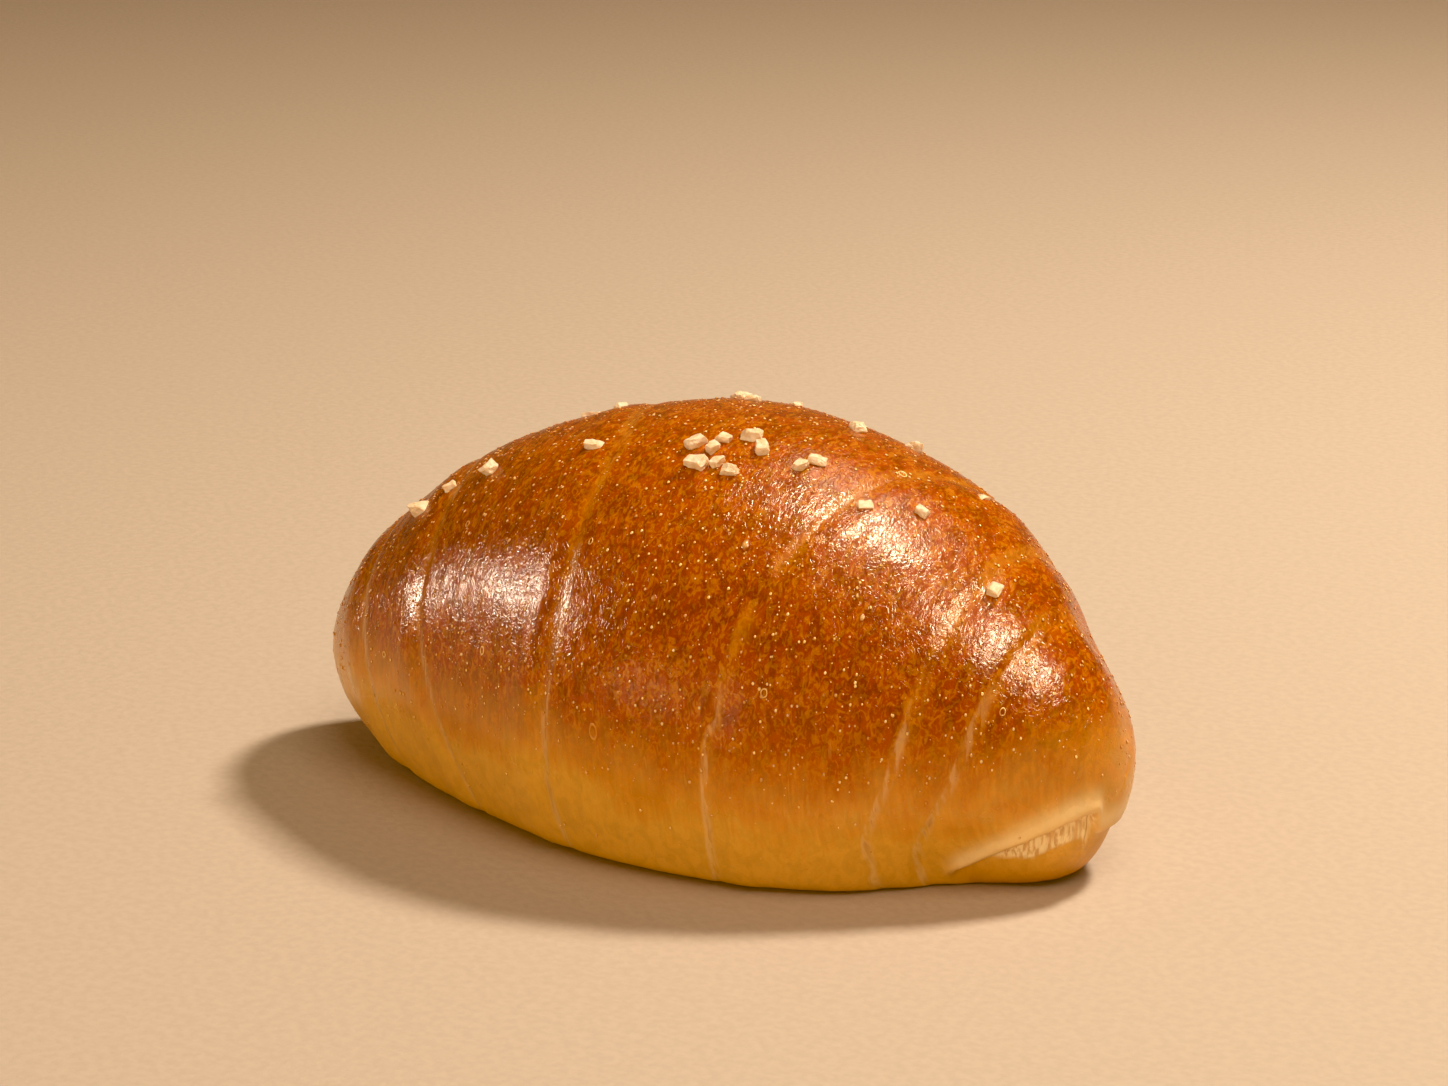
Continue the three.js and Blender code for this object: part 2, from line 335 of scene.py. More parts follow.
class ShaderSheet:
    """A material whose nodes are all added by one method"""

    def __init__(self, name):
        self.material = bpy.data.materials.new(name)
        self.material.use_nodes = True
        self.tree = self.material.node_tree
        self.tree.nodes.clear()

    def node(self, kind, settings=None, inputs=None, output=0):
        """Adds a node, sets it up, feeds its sockets and returns one of its outputs"""
        made = self.tree.nodes.new(kind)
        for name, value in (settings or {}).items():
            if name == "stops":
                self._set_stops(made.color_ramp, value)
            else:
                setattr(made, name, value)
        for key, value in (inputs or {}).items():
            if isinstance(value, Wire):
                self.tree.links.new(value.socket, made.inputs[key])
            else:
                made.inputs[key].default_value = value
        return Wire(self, made.outputs[output]) if made.outputs else None

    @staticmethod
    def _set_stops(ramp, stops):
        while len(ramp.elements) < len(stops):
            ramp.elements.new(1.0)
        for element, (place, colour) in zip(ramp.elements, stops):
            element.position = place
            element.color = (*colour, 1.0)

    def place(self):
        """Object coordinates in millimetres"""
        coordinates = self.node("ShaderNodeTexCoord", output="Object")
        return self.node("ShaderNodeVectorMath", {"operation": "SCALE"}, {0: coordinates, "Scale": 1 / MM})

    def stretch(self, vector, x, y, z):
        return self.node("ShaderNodeVectorMath", {"operation": "MULTIPLY"}, {0: vector, 1: (x, y, z)})

    def axes(self, vector):
        return [self.node("ShaderNodeSeparateXYZ", None, {0: vector}, output=axis) for axis in "XYZ"]

    def noise(self, vector, size, detail=2.0, distortion=0.0):
        """Noise between 0 and 1 whose patches are about size millimetres across"""
        return self.node(
            "ShaderNodeTexNoise", {"noise_dimensions": "3D"},
            {"Vector": vector, "Scale": 1 / size, "Detail": detail, "Distortion": distortion})

    def spots(self, vector, size):
        """Distance to the nearest of scattered points about size millimetres apart"""
        return self.node("ShaderNodeTexVoronoi", {"feature": "F1"}, {"Vector": vector, "Scale": 1 / size})

    def attribute(self, name):
        return self.node("ShaderNodeAttribute", {"attribute_name": name}, output="Fac")

    def mix(self, factor, first, second):
        """Colour between first and second"""
        first, second = (c if isinstance(c, Wire) else (*c, 1.0) for c in (first, second))
        return self.node(
            "ShaderNodeMix", {"data_type": "RGBA"}, {"Factor": factor, 6: first, 7: second}, output=2)

    def ramp(self, factor, stops):
        return self.node("ShaderNodeValToRGB", {"stops": stops}, {0: factor})

    def bump(self, height, depth):
        """Normal of a surface raised by height times depth millimetres"""
        return self.node("ShaderNodeBump", None, {"Height": height, "Distance": depth * MM, "Strength": 1.0})

    def finish(self, inputs):
        """Ends the tree with a Principled shader fed by inputs, and returns the material"""
        surface = self.node("ShaderNodeBsdfPrincipled", None, inputs)
        self.node("ShaderNodeOutputMaterial", None, {"Surface": surface})
        return self.material


def crust_material(colours):
    """Egg-washed crust: pale at the base, amber to brown above, paler along the seams"""
    sheet = ShaderSheet("baked_crust")
    place = sheet.place()
    x, _, z = sheet.axes(place)
    broad = sheet.noise(place, 20, 2)
    patch = sheet.noise(place, 6, 3)
    mottle = sheet.noise(sheet.stretch(place, 1, 0.6, 0.6), 1.6, 3, 0.8)
    worm = sheet.noise(sheet.stretch(place, 1, 0.6, 0.6), 0.9, 3, 1.8)
    streak = sheet.noise(sheet.stretch(place, 1, 0.14, 0.14), 0.7, 3, 0.4)
    grain = sheet.noise(place, 0.25, 2)

    seam = sheet.attribute("seam_glow")
    crumb = sheet.attribute("crumb")
    crack = sheet.attribute("crack")
    ends = x.magnitude().fade(44, 64)
    wander = (broad - 0.5) * 12 + (patch - 0.5) * 8 + (mottle - 0.5) * 8 + (streak - 0.5) * 9
    baked = (z + wander - ends * 4.5 + x.fade(-15, 15, -1.5, 1.5)) / 58
    stops = [
        (0.0, colours.base), (0.19, colours.base), (0.27, colours.gold), (0.34, colours.amber),
        (0.43, colours.brown), (0.62, colours.brown), (0.82, colours.chestnut), (1.0, colours.chestnut),
    ]
    colour = sheet.ramp(baked, stops)

    # Fine mottling: amber flecks over darker brown
    browned = z.fade(10, 30, 0.35, 1)
    flecks = worm.fade(0.46, 0.62) * browned
    colour = sheet.mix(flecks * 0.5, colour, colours.fleck)
    depth = 1.15 - (mottle.fade(0.6, 0.36) * 0.36 + grain.fade(0.6, 0.35) * 0.12) * browned
    colour = sheet.node("ShaderNodeVectorMath", {"operation": "SCALE"}, {0: colour, "Scale": depth})

    # Seams lay bare paler dough in broken bands, with a thin pale edge and a dark crack low down
    band = seam * (patch.fade(0.3, 0.62, 0.4, 0.85) + (streak - 0.5) * 1.4 + (worm - 0.5) * 0.9)
    bare_dough = sheet.mix(z.fade(8, 22), colours.base, colours.seam)
    colour = sheet.mix(band.fade(0.08, 0.9) * 0.5, colour, bare_dough)
    low_edge = seam.fade(0.6, 1) * streak.fade(0.4, 0.6) * z.fade(34, 20)
    colour = sheet.mix(low_edge * 0.3, colour, colours.crumb)
    cracked = crack * z.fade(26, 12) * z.fade(3, 9) * streak.fade(0.52, 0.64) * 0.45
    colour = sheet.mix(cracked, colour, colours.brown)
    pale_streaks = streak.fade(0.6, 0.72) * z.fade(34, 16) * 0.4
    colour = sheet.mix(pale_streaks, colour, colours.base)

    # Pale freckles, the darker foot of the last turn, its lip in paler dough with a painted highlight along
    # it, and the torn crumb
    freckle = sheet.spots(place, 0.8).fade(0.1, 0.24, 1, 0) * patch.fade(0.35, 0.6)
    colour = sheet.mix(freckle * 0.4, colour, colours.seam)
    colour = sheet.mix(sheet.attribute("lobe") * z.fade(6, 0) * 0.5, colour, colours.amber)
    # The lip is partly paler dough and partly a painted highlight on its rolled edge
    colour = sheet.mix(sheet.attribute("lip") * (0.35 + patch * 0.6), colour, colours.crumb)
    # Painted shade: the torn crumb is darker gold in the low gaps between its fibres, where the bump sinks
    fibre = sheet.noise(sheet.stretch(place, 1, 1, 0.13), 0.5, 3, 0.3)
    torn = sheet.mix(fibre.fade(0.36, 0.56, 0.35, 1), colours.gold, colours.crumb)
    colour = sheet.mix(crumb, colour, torn)

    # Relief: leathery wrinkles above, fine streaks running round the roll lower down
    wrinkle = sheet.noise(sheet.stretch(place, 1, 0.7, 0.7), 1.0, 2, 2.6)
    upper = z.fade(12, 30)
    relief = (wrinkle * (0.4 + upper) + streak * (0.8 - upper * 0.5) + grain * 0.05
              + freckle * 0.3 - cracked * 0.5) * (1 - crumb) + fibre * crumb * 3.5
    gloss = (1 - crumb) * z.fade(3, 20, 0.3, 1.0)
    return sheet.finish({
        "Base Color": colour,
        "Roughness": 0.48 - gloss * 0.27 + (mottle - 0.5) * 0.16,
        "Normal": sheet.bump(relief, 0.07),
        "Specular IOR Level": 0.55,
        "Specular Tint": (1.0, 0.88, 0.7, 1.0),
        "Subsurface Weight": 0.05,
        "Subsurface Radius": (1.0, 0.35, 0.1),
        "Subsurface Scale": 1.5 * MM,
    })


def blister_material(colours):
    """Tiny glossy beads of egg wash: painted shade in the crust's colours round their foot and a painted
    highlight as a pale cap on top
    """
    sheet = ShaderSheet("egg_wash_blisters")
    place = sheet.place()
    tone = sheet.noise(place, 3, 2)
    cap = sheet.attribute("cap")
    _, _, z = sheet.axes(place)
    # Painted shade: the foot of each bead takes the crust's darker gold and brown
    rim = sheet.mix(z.fade(10, 26), colours.gold, colours.brown)
    # Painted highlight: the pale cream cap on top of each bead
    top = sheet.mix(tone.fade(0.35, 0.65), colours.blister, colours.seam)
    return sheet.finish({
        "Base Color": sheet.mix(cap.fade(0.35, 0.75), rim, top),
        "Roughness": 0.22 + tone * 0.15,
        "Specular IOR Level": 0.6,
        "Specular Tint": (1.0, 0.88, 0.66, 1.0),
        "Coat Weight": 0.2,
        "Coat Roughness": 0.1,
        "Normal": sheet.bump(tone, 0.02),
    })


def salt_material(colours):
    """Coarse waxy salt: cream white, with cloudy patches and rough facets"""
    sheet = ShaderSheet("coarse_salt")
    place = sheet.place()
    cloud = sheet.noise(place, 0.9, 3)
    facet = sheet.noise(place, 0.35, 3, 0.4)
    warm = tuple(channel * tint for channel, tint in zip(colours.salt, (0.93, 0.8, 0.62)))
    return sheet.finish({
        "Base Color": sheet.mix(cloud.fade(0.35, 0.7), colours.salt, warm),
        "Roughness": 0.42 + facet * 0.25,
        "Normal": sheet.bump(facet + cloud * 0.6, 0.09),
        "Subsurface Weight": 0.25,
        "Subsurface Radius": (1.0, 0.7, 0.45),
        "Subsurface Scale": 0.6 * MM,
        "Coat Weight": 0.15,
        "Coat Roughness": 0.25,
    })


def floor_material(colour):
    """Plain pale matte floor with a faint paper tooth"""
    sheet = ShaderSheet("pale_floor")
    place = sheet.place()
    tooth = sheet.noise(place, 1.4, 3)
    shade = tuple(channel * 0.94 for channel in colour)
    return sheet.finish({
        "Base Color": sheet.mix(tooth.fade(0.3, 0.7), colour, shade),
        "Roughness": 0.9,
        "Specular IOR Level": 0.1,
        "Normal": sheet.bump(tooth, 0.12),
    })


# ---------------------------------------------------------------- crust mesh


def smooth_curve(points, at):
    """Smooth curve through (place, value) points, for an array of places"""
    places, values = np.array(points, float).T
    before = np.maximum(np.arange(len(places)) - 1, 0)
    after = np.minimum(np.arange(len(places)) + 1, len(places) - 1)
    slopes = (values[after] - values[before]) / (places[after] - places[before])
    index = np.clip(np.searchsorted(places, at) - 1, 0, len(places) - 2)
    span = places[index + 1] - places[index]
    t = (at - places[index]) / span
    rise = values[index + 1] - values[index]
    leave, arrive = slopes[index] * span, slopes[index + 1] * span
    return values[index] + t * (leave + t * (3 * rise - 2 * leave - arrive + t * (leave + arrive - 2 * rise)))


def bell(distance, reach):
    """1 where distance is 0, fading on both sides"""
    return np.exp(-((distance / reach) ** 2))


def soft_step(distance, softness):
    """0 well below distance 0 and 1 well above it"""
    return 1 / (1 + np.exp(-distance / softness))


def press_onto_base(height, softness):
    """Heights below the base are pressed flat onto it, with a soft edge"""
    soft = (height + softness) ** 2 / (4 * softness)
    return np.where(height > softness, height, np.where(height < -softness, 0, soft))


def sample_noise(points, size):
    """Noise between -1 and 1 at each row of points, with patches about size across"""
    return np.array([noise.noise(Vector(point)) for point in (points / size).reshape(-1, 3)]
                    ).reshape(points.shape[:-1])


class CrustRelief:
    """Works out where the crust stands proud, and which parts are seams or torn crumb"""

    def __init__(self, shape, plain, angle):
        self.shape = shape
        self.plain = plain
        self.angle = angle
        self.height = np.zeros(angle.shape)
        self.seam_glow = np.zeros(angle.shape)
        self.crumb = np.zeros(angle.shape)
        self.crack = np.zeros(angle.shape)
        self.lip = np.zeros(angle.shape)
        self.lobe = np.zeros(angle.shape)
        self.wobble = sample_noise(plain, 7 * MM)
        self.flutter = sample_noise(plain + 1.0, 2.2 * MM)
        self.add_lumps()
        self.add_swellings()
        self.add_seams()
        self.add_end_fold()

    def add_lumps(self):
        broad = sample_noise(self.plain, 19 * MM)
        stretched = self.plain * np.array([1, 0.3, 0.3])
        self.height += self.shape.lump * (broad + 0.3 * self.wobble)
        self.height += 0.06 * MM * sample_noise(stretched, 1.3 * MM)

    def add_swellings(self):
        for share, middle, along, round_, height in SWELLINGS:
            sideways = (self.plain[..., 0] - share * self.shape.length / 2) / (along * MM)
            turned = (self.angle - middle + 180) % 360 - 180
            self.height += height * MM * bell(sideways, 1) * bell(turned, round_)

    def add_seams(self):
        half = self.shape.length / 2
        for seam, side in ((LEFT_SEAM, -1), (RIGHT_SEAM, 1)):
            start, end = seam[0][0], seam[-1][0]
            winding = (90 - self.angle) % 360
            for turn in SEAM_TURNS:
                turned = winding + 360 * turn
                place = smooth_curve(seam, np.clip(turned, start, end)) * half
                place = place + (0.35 * self.wobble + 0.12 * self.flutter) * MM
                depth = np.clip((turned - start) / SEAM_FADE_IN, 0, 1)
                depth = depth * np.clip((end - turned) / SEAM_FADE_OUT, 0, 1)
                self.add_seam_turn((side * self.plain[..., 0] - place) / MM, depth)

    def add_seam_turn(self, outward, depth):
        """outward is the distance in millimetres past the layer's edge, towards the tip"""
        shape = self.shape
        groove, shoulder, crack = (
            bell(outward - middle, reach) for middle, reach in (GROOVE_LINE, SHOULDER_LINE, CRACK_LINE))
        valley = np.exp(-np.hypot(outward, VALLEY_FLOOR) / VALLEY_REACH)
        on_layer = np.exp(np.minimum(outward, 0) / LAYER_REACH)
        step = np.where(outward < 0, on_layer, bell(outward, EDGE_REACH))
        ripple = 1 + 0.5 * self.flutter + 0.5 * self.wobble
        self.height += depth * (
            shape.seam_step * step - shape.seam_valley * valley
            + shape.shoulder * shoulder - shape.seam_groove * groove * ripple)
        bare = np.where(
            outward > 0, bell(outward, BARE_OUTSIDE), np.exp(np.minimum(outward, 0) / BARE_ON_LAYER))
        self.seam_glow = np.maximum(self.seam_glow, depth * bare)
        self.crack = np.maximum(self.crack, depth * crack)

    def add_end_fold(self):
        """The last turn of dough stands out of the right end below a crease, with torn crumb at its edge"""
        x, y, z = (self.plain[..., axis] / MM for axis in range(3))
        tip = self.shape.length / MM / 2
        rise = CREASE_SLOPE * (x - (tip - CREASE_FOOT)) + 0.3 * self.flutter
        level = CREASE_HEIGHT - CREASE_BEND * np.log1p(np.exp((CREASE_HEIGHT - rise) / CREASE_BEND))
        crease = level - FLAP_DROP * soft_step(y - FLAP_CORNER, FLAP_BEND)
        below = crease - z
        there = np.clip(crease / 2, 0, 1)
        edge = soft_step(below - 0.2, FOLD_EDGE)
        front = soft_step(FLAP_CORNER - y, 0.15)
        depth = self.shape.fold_depth * (0.6 + 0.4 * front)
        self.height -= depth * there * edge * np.exp(-np.maximum(below - FOLD_START, 0) / FOLD_REACH)
        self.height += LIP_RISE * MM * there * front * bell(below + 0.8, 0.9)
        widening = np.clip((x - (tip - TORN_START)) / TORN_TAPER, 0, 1)
        strip = TORN_LEAST + TORN_MOST * widening + 0.3 * self.flutter
        inside = np.clip((below - 0.1) / 0.25, 0, 1) * np.clip((strip - below) / 0.4, 0, 1)
        self.crumb = inside * front * there
        self.lip = there * bell(below + 1.6, 1.8)
        self.lobe = there * edge * (1 - self.crumb)
        fibres = sample_noise(np.stack([x + y, y - x, 0.1 * z], axis=-1), 0.9)
        self.height += FIBRE_RISE * MM * fibres * self.crumb


def plain_surface(shape, along, angle):
    """Crust without relief, in metres, before the base is pressed flat"""
    swing = np.pi * along
    share, taper = -np.cos(swing), np.sin(swing)
    half_width = smooth_curve(WIDTH_FULLNESS, along * TIP_TO_TIP) * taper * shape.width / 2
    crest_rise = shape.height - shape.centre_height
    half_height = smooth_curve(HEIGHT_FULLNESS, along * TIP_TO_TIP) * taper * crest_rise
    turn = np.radians(angle)
    x = share * shape.length / 2
    y = -half_width * np.cos(turn)
    z = shape.centre_height - shape.end_droop * share**2 + half_height * np.sin(turn)
    return np.stack([x, y, z], axis=-1)


def outward_normals(points):
    """Unit normals of a grid whose rings run from the left tip to the right one"""
    lengthwise = np.gradient(points, axis=0)
    around = np.roll(points, -1, axis=1) - np.roll(points, 1, axis=1)
    normals = np.cross(lengthwise, around)
    lengths = np.linalg.norm(normals, axis=-1, keepdims=True)
    normals = normals / np.maximum(lengths, 1e-12)
    normals[0], normals[-1] = (-1, 0, 0), (1, 0, 0)
    return normals


def crust_faces(rings, segments):
    """Quads between rings and triangles at the tips; the tips are the first and last points"""
    last = 1 + (rings - 1) * segments
    start = 1 + np.arange(rings - 2)[:, None] * segments + np.arange(segments)
    beside = 1 + np.arange(rings - 2)[:, None] * segments + (np.arange(segments) + 1) % segments
    quads = np.stack([start, start + segments, beside + segments, beside], axis=-1).reshape(-1, 4)
    faces = quads.tolist()
    for segment in range(segments):
        following = (segment + 1) % segments
        faces.append((0, 1 + segment, 1 + following))
        faces.append((last, last - segments + following, last - segments + segment))
    return faces


def make_object(name, mesh, material):
    made = bpy.data.objects.new(name, mesh)
    bpy.context.scene.collection.objects.link(made)
    mesh.materials.clear()
    mesh.materials.append(material)
    mesh.shade_smooth()
    return made


def attach(piece, slot, *nodes):
    """The piece rides on the roll's body and stands in for its CAD nodes, which are hidden; slot is not used
    """
    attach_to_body(piece, BODY)
    if nodes:
        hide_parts(*nodes)


def add_point_values(mesh, name, values):
    layer = mesh.attributes.new(name, "FLOAT", "POINT")
    layer.data.foreach_set("value", values.astype(np.float32))


CRUST_VALUES = ("seam_glow", "crumb", "crack", "lip", "lobe")


class SALTBREAD_OT_bake_roll(bpy.types.Operator):
    """Bakes the roll: one closed crust with wound seams and a folded end"""

    bl_idname = "saltbread.bake_roll"
    bl_label = "Bake Roll"

    def execute(self, context):
        shape = context.scene.crust_shape
        rings, segments = shape.rings, shape.segments
        along = np.repeat((np.arange(rings + 1) / rings)[:, None], segments, axis=1)
        angle = np.repeat((np.arange(segments) * 360 / segments)[None], rings + 1, axis=0)
        plain = plain_surface(shape, along, angle)
        relief = CrustRelief(shape, plain, angle)
        points = plain + relief.height[..., None] * outward_normals(plain)
        points[..., 2] = press_onto_base(points[..., 2], shape.base_edge)

        def flatten(grid):
            """One value at each tip, and every ring's values between them"""
            return np.concatenate([grid[:1, 0], grid[1:-1].reshape(-1, *grid.shape[2:]), grid[-1:, 0]])

        mesh = bpy.data.meshes.new("baked_roll")
        mesh.from_pydata(flatten(points), [], crust_faces(rings, segments))
        for name in CRUST_VALUES:
            add_point_values(mesh, name, flatten(getattr(relief, name)))
        low = -0.2 * MM
        if mesh.validate() or min(vertex.co.z for vertex in mesh.vertices) < low:
            raise RuntimeError("the crust mesh came out wrong")
        roll = make_object("baked_roll", mesh, crust_material(context.scene.bake_colours))
        attach(roll, "crust", ROLL_NODE)
        return {"FINISHED"}


# ---------------------------------------------------------------- blisters


class GeometryTree:
    """A Geometry Nodes tree with named inputs"""

    def __init__(self, name, inputs):
        self.tree = bpy.data.node_groups.new(name, "GeometryNodeTree")
        self.tree.interface.new_socket("Geometry", in_out="INPUT", socket_type="NodeSocketGeometry")
        self.tree.interface.new_socket("Geometry", in_out="OUTPUT", socket_type="NodeSocketGeometry")
        self.identifiers = {}
        for label, kind in inputs.items():
            socket = self.tree.interface.new_socket(label, in_out="INPUT", socket_type=kind)
            self.identifiers[label] = socket.identifier
        self.given = self.tree.nodes.new("NodeGroupInput")

    def node(self, kind, settings=None, inputs=None):
        made = self.tree.nodes.new(kind)
        for name, value in (settings or {}).items():
            setattr(made, name, value)
        for key, value in (inputs or {}).items():
            if isinstance(value, bpy.types.NodeSocket):
                self.tree.links.new(value, made.inputs[key])
            else:
                made.inputs[key].default_value = value
        return made.outputs

    def end(self, geometry):
        """Realizes the instances, gives them the material and returns the tree"""
        real = self.node("GeometryNodeRealizeInstances", None, {0: geometry})
        smooth = self.node("GeometryNodeSetShadeSmooth", None, {0: real[0]})
        painted = self.node("GeometryNodeSetMaterial", None,
                            {0: smooth[0], "Material": self.given.outputs["Material"]})
        self.node("NodeGroupOutput", None, {0: painted[0]})
        return self.tree


def blister_tree():
    """Domes scattered over a crust, thickest where its blistered attribute is highest"""
    maker = GeometryTree("crust_blisters", {
        "Density": "NodeSocketFloat", "Least Radius": "NodeSocketFloat",
        "Most Radius": "NodeSocketFloat", "Seed": "NodeSocketInt", "Material": "NodeSocketMaterial",
    })
    given = maker.given.outputs
    blistered = maker.node("GeometryNodeInputNamedAttribute", {"data_type": "FLOAT"}, {0: "blistered"})
    spread = maker.node("GeometryNodeDistributePointsOnFaces", {"distribute_method": "RANDOM"}, {
        "Mesh": given["Geometry"],
        "Density": maker.node("ShaderNodeMath", {"operation": "MULTIPLY"},
                              {0: given["Density"], 1: blistered[0]})[0],
        "Seed": given["Seed"]})
    sphere = maker.node("GeometryNodeMeshUVSphere", None, {"Segments": 6, "Rings": 4, "Radius": 1.0})
    position = maker.node("GeometryNodeInputPosition")
    cap = maker.node("ShaderNodeSeparateXYZ", None, {0: position[0]})
    # cap is the height up each bead; the blister material paints it from painted shade at the foot to a
    # painted highlight on top
    bead = maker.node("GeometryNodeStoreNamedAttribute", {"data_type": "FLOAT", "domain": "POINT"},
                      {"Geometry": sphere["Mesh"], "Name": "cap", "Value": cap["Z"]})
    size = maker.node("FunctionNodeRandomValue", {"data_type": "FLOAT"}, {"Seed": given["Seed"]})
    # A random value raised to a power gives many small blisters and few large ones
    small = maker.node("ShaderNodeMath", {"operation": "POWER"}, {0: size[1], 1: 1.8})[0]
    radius = maker.node("ShaderNodeMapRange", None, {
        0: small, 3: given["Least Radius"], 4: given["Most Radius"]})[0]
    shape = maker.node("ShaderNodeCombineXYZ", None, {
        0: radius,
        1: maker.node("ShaderNodeMath", {"operation": "MULTIPLY"}, {0: radius, 1: 1.25})[0],
        2: maker.node("ShaderNodeMath", {"operation": "MULTIPLY"}, {0: radius, 1: 0.7})[0]})[0]
    beads = maker.node("GeometryNodeInstanceOnPoints", None, {
        "Points": spread["Points"], "Instance": bead[0],
        "Rotation": spread["Rotation"], "Scale": shape})
    return maker.end(beads[0]), maker.identifiers


class SALTBREAD_OT_raise_blisters(bpy.types.Operator):
    """Raises the small egg-wash blisters that cover the crust"""

    bl_idname = "saltbread.raise_blisters"
    bl_label = "Raise Blisters"

    def execute(self, context):
        toppings = context.scene.toppings
        roll = bpy.data.objects["baked_roll"]
        carrier_mesh = roll.data.copy()
        count = len(carrier_mesh.vertices)
        places = np.empty(count * 3)
        carrier_mesh.vertices.foreach_get("co", places)
        heights = places.reshape(-1, 3)[:, 2] / MM
        crumb = np.empty(count)
        carrier_mesh.attributes["crumb"].data.foreach_get("value", crumb)
        # Few blisters low down, the most over the browned part, none at the base or on crumb
        blistered = 0.12 + 0.88 * np.clip((heights - 12) / 16, 0, 1)
        blistered *= np.clip((heights - 3) / 3, 0, 1) * (crumb < 0.05)
        add_point_values(carrier_mesh, "blistered", blistered)
        carrier = bpy.data.objects.new("blister_carrier", carrier_mesh)
        context.scene.collection.objects.link(carrier)
        tree, identifiers = blister_tree()
        material = blister_material(context.scene.bake_colours)
        modifier = carrier.modifiers.new("blisters", "NODES")
        modifier.node_group = tree
        values = {
            "Density": toppings.blister_density, "Least Radius": toppings.blister_least,
            "Most Radius": toppings.blister_most, "Seed": BLISTER_SEED, "Material": material,
        }
        for label, value in values.items():
            modifier[identifiers[label]] = value
        grown = carrier.evaluated_get(context.evaluated_depsgraph_get())
        mesh = bpy.data.meshes.new_from_object(grown)
        bpy.data.objects.remove(carrier)
        if len(mesh.polygons) == 0:
            raise RuntimeError("no blister was raised")
        mesh.name = "crust_blisters"
        blisters = make_object("crust_blisters", mesh, material)
        attach(blisters, "crust")
        return {"FINISHED"}


def add_large_blister(mesh_points, mesh_faces, caps, crust, blister):
    """A low drop or a ring of egg wash that follows the crust"""
    share, angle, long_size, round_size, height, ring = blister
    spot = plain_surface(bpy.context.scene.crust_shape, np.array([math.acos(-share) / math.pi]),
                         np.array([float(angle)]))[0]
    _, centre, normal, _ = crust.closest_point_on_mesh(Vector(spot))
    lengthwise = Vector((1, 0, 0)) - normal * normal.x
    lengthwise.normalize()
    across = normal.cross(lengthwise)
    rings, segments = LARGE_BLISTER_RINGS, LARGE_BLISTER_SEGMENTS
    start = len(mesh_points)
    for step in range(rings + 1):
        reach = step / rings
        for segment in range(segments if step else 1):
            turn = 2 * math.pi * segment / segments
            wobble = 1 + 0.12 * noise.noise(Vector((3 * math.cos(turn), 3 * math.sin(turn), 40 * share)))
            spread = Vector((long_size * math.cos(turn), round_size * math.sin(turn))) * reach * wobble / 2
            swell = bell(reach - CREST_PLACE, CREST_WIDTH) if ring else math.sqrt(max(0, 1 - reach**2))
            flat = centre + (lengthwise * spread.x + across * spread.y) * MM
            _, foot, facing, _ = crust.closest_point_on_mesh(flat)
            lift = height * swell - BLISTER_SINK - RIM_SINK * (step == rings)
            mesh_points.append(foot + facing * lift * MM)
            # The cap value follows the swell, so the crest of each ring or drop takes the painted highlight
            # and its foot the painted shade
            caps.append(swell if ring else swell * 0.62)
    for segment in range(segments):
        following = (segment + 1) % segments
        mesh_faces.append((start, start + 1 + segment, start + 1 + following))
        for step in range(rings - 1):
            inner = start + 1 + step * segments
            mesh_faces.append((inner + segment, inner + segments + segment,
                               inner + segments + following, inner + following))
    # A flat underside closes the blister
    rim = start + 1 + (rings - 1) * segments
    mesh_faces.append(tuple(rim + segment for segment in reversed(range(segments))))


class SALTBREAD_OT_raise_large_blisters(bpy.types.Operator):
    """Raises the few large blisters and drops of egg wash"""

    bl_idname = "saltbread.raise_large_blisters"
    bl_label = "Raise Large Blisters"

    def execute(self, context):
        crust = bpy.data.objects["baked_roll"]
        points, faces, caps = [], [], []
        for blister in LARGE_BLISTERS:
            add_large_blister(points, faces, caps, crust, blister)
        mesh = bpy.data.meshes.new("large_blisters")
        mesh.from_pydata(points, [], faces)
        add_point_values(mesh, "cap", np.array(caps))
        if mesh.validate():
            raise RuntimeError("the large blisters came out wrong")
        material = bpy.data.materials["egg_wash_blisters"]
        attach(make_object("large_blisters", mesh, material), "crust")
        return {"FINISHED"}


# ---------------------------------------------------------------- salt


def chip_corner(grain, middle, chance):
    """Cuts one corner off a crystal along a flat plane"""
    outward = Vector([chance.normal() for _ in range(3)]).normalized()
    reach = max((vertex.co - middle).dot(outward) for vertex in grain.verts)
    everything = grain.verts[:] + grain.edges[:] + grain.faces[:]
    cut = bmesh.ops.bisect_plane(
        grain, geom=everything, plane_co=middle + outward * reach * chance.uniform(0.6, 0.8),
        plane_no=outward, clear_outer=True)
    edges = [part for part in cut["geom_cut"] if isinstance(part, bmesh.types.BMEdge)]
    bmesh.ops.contextual_create(grain, geom=edges)


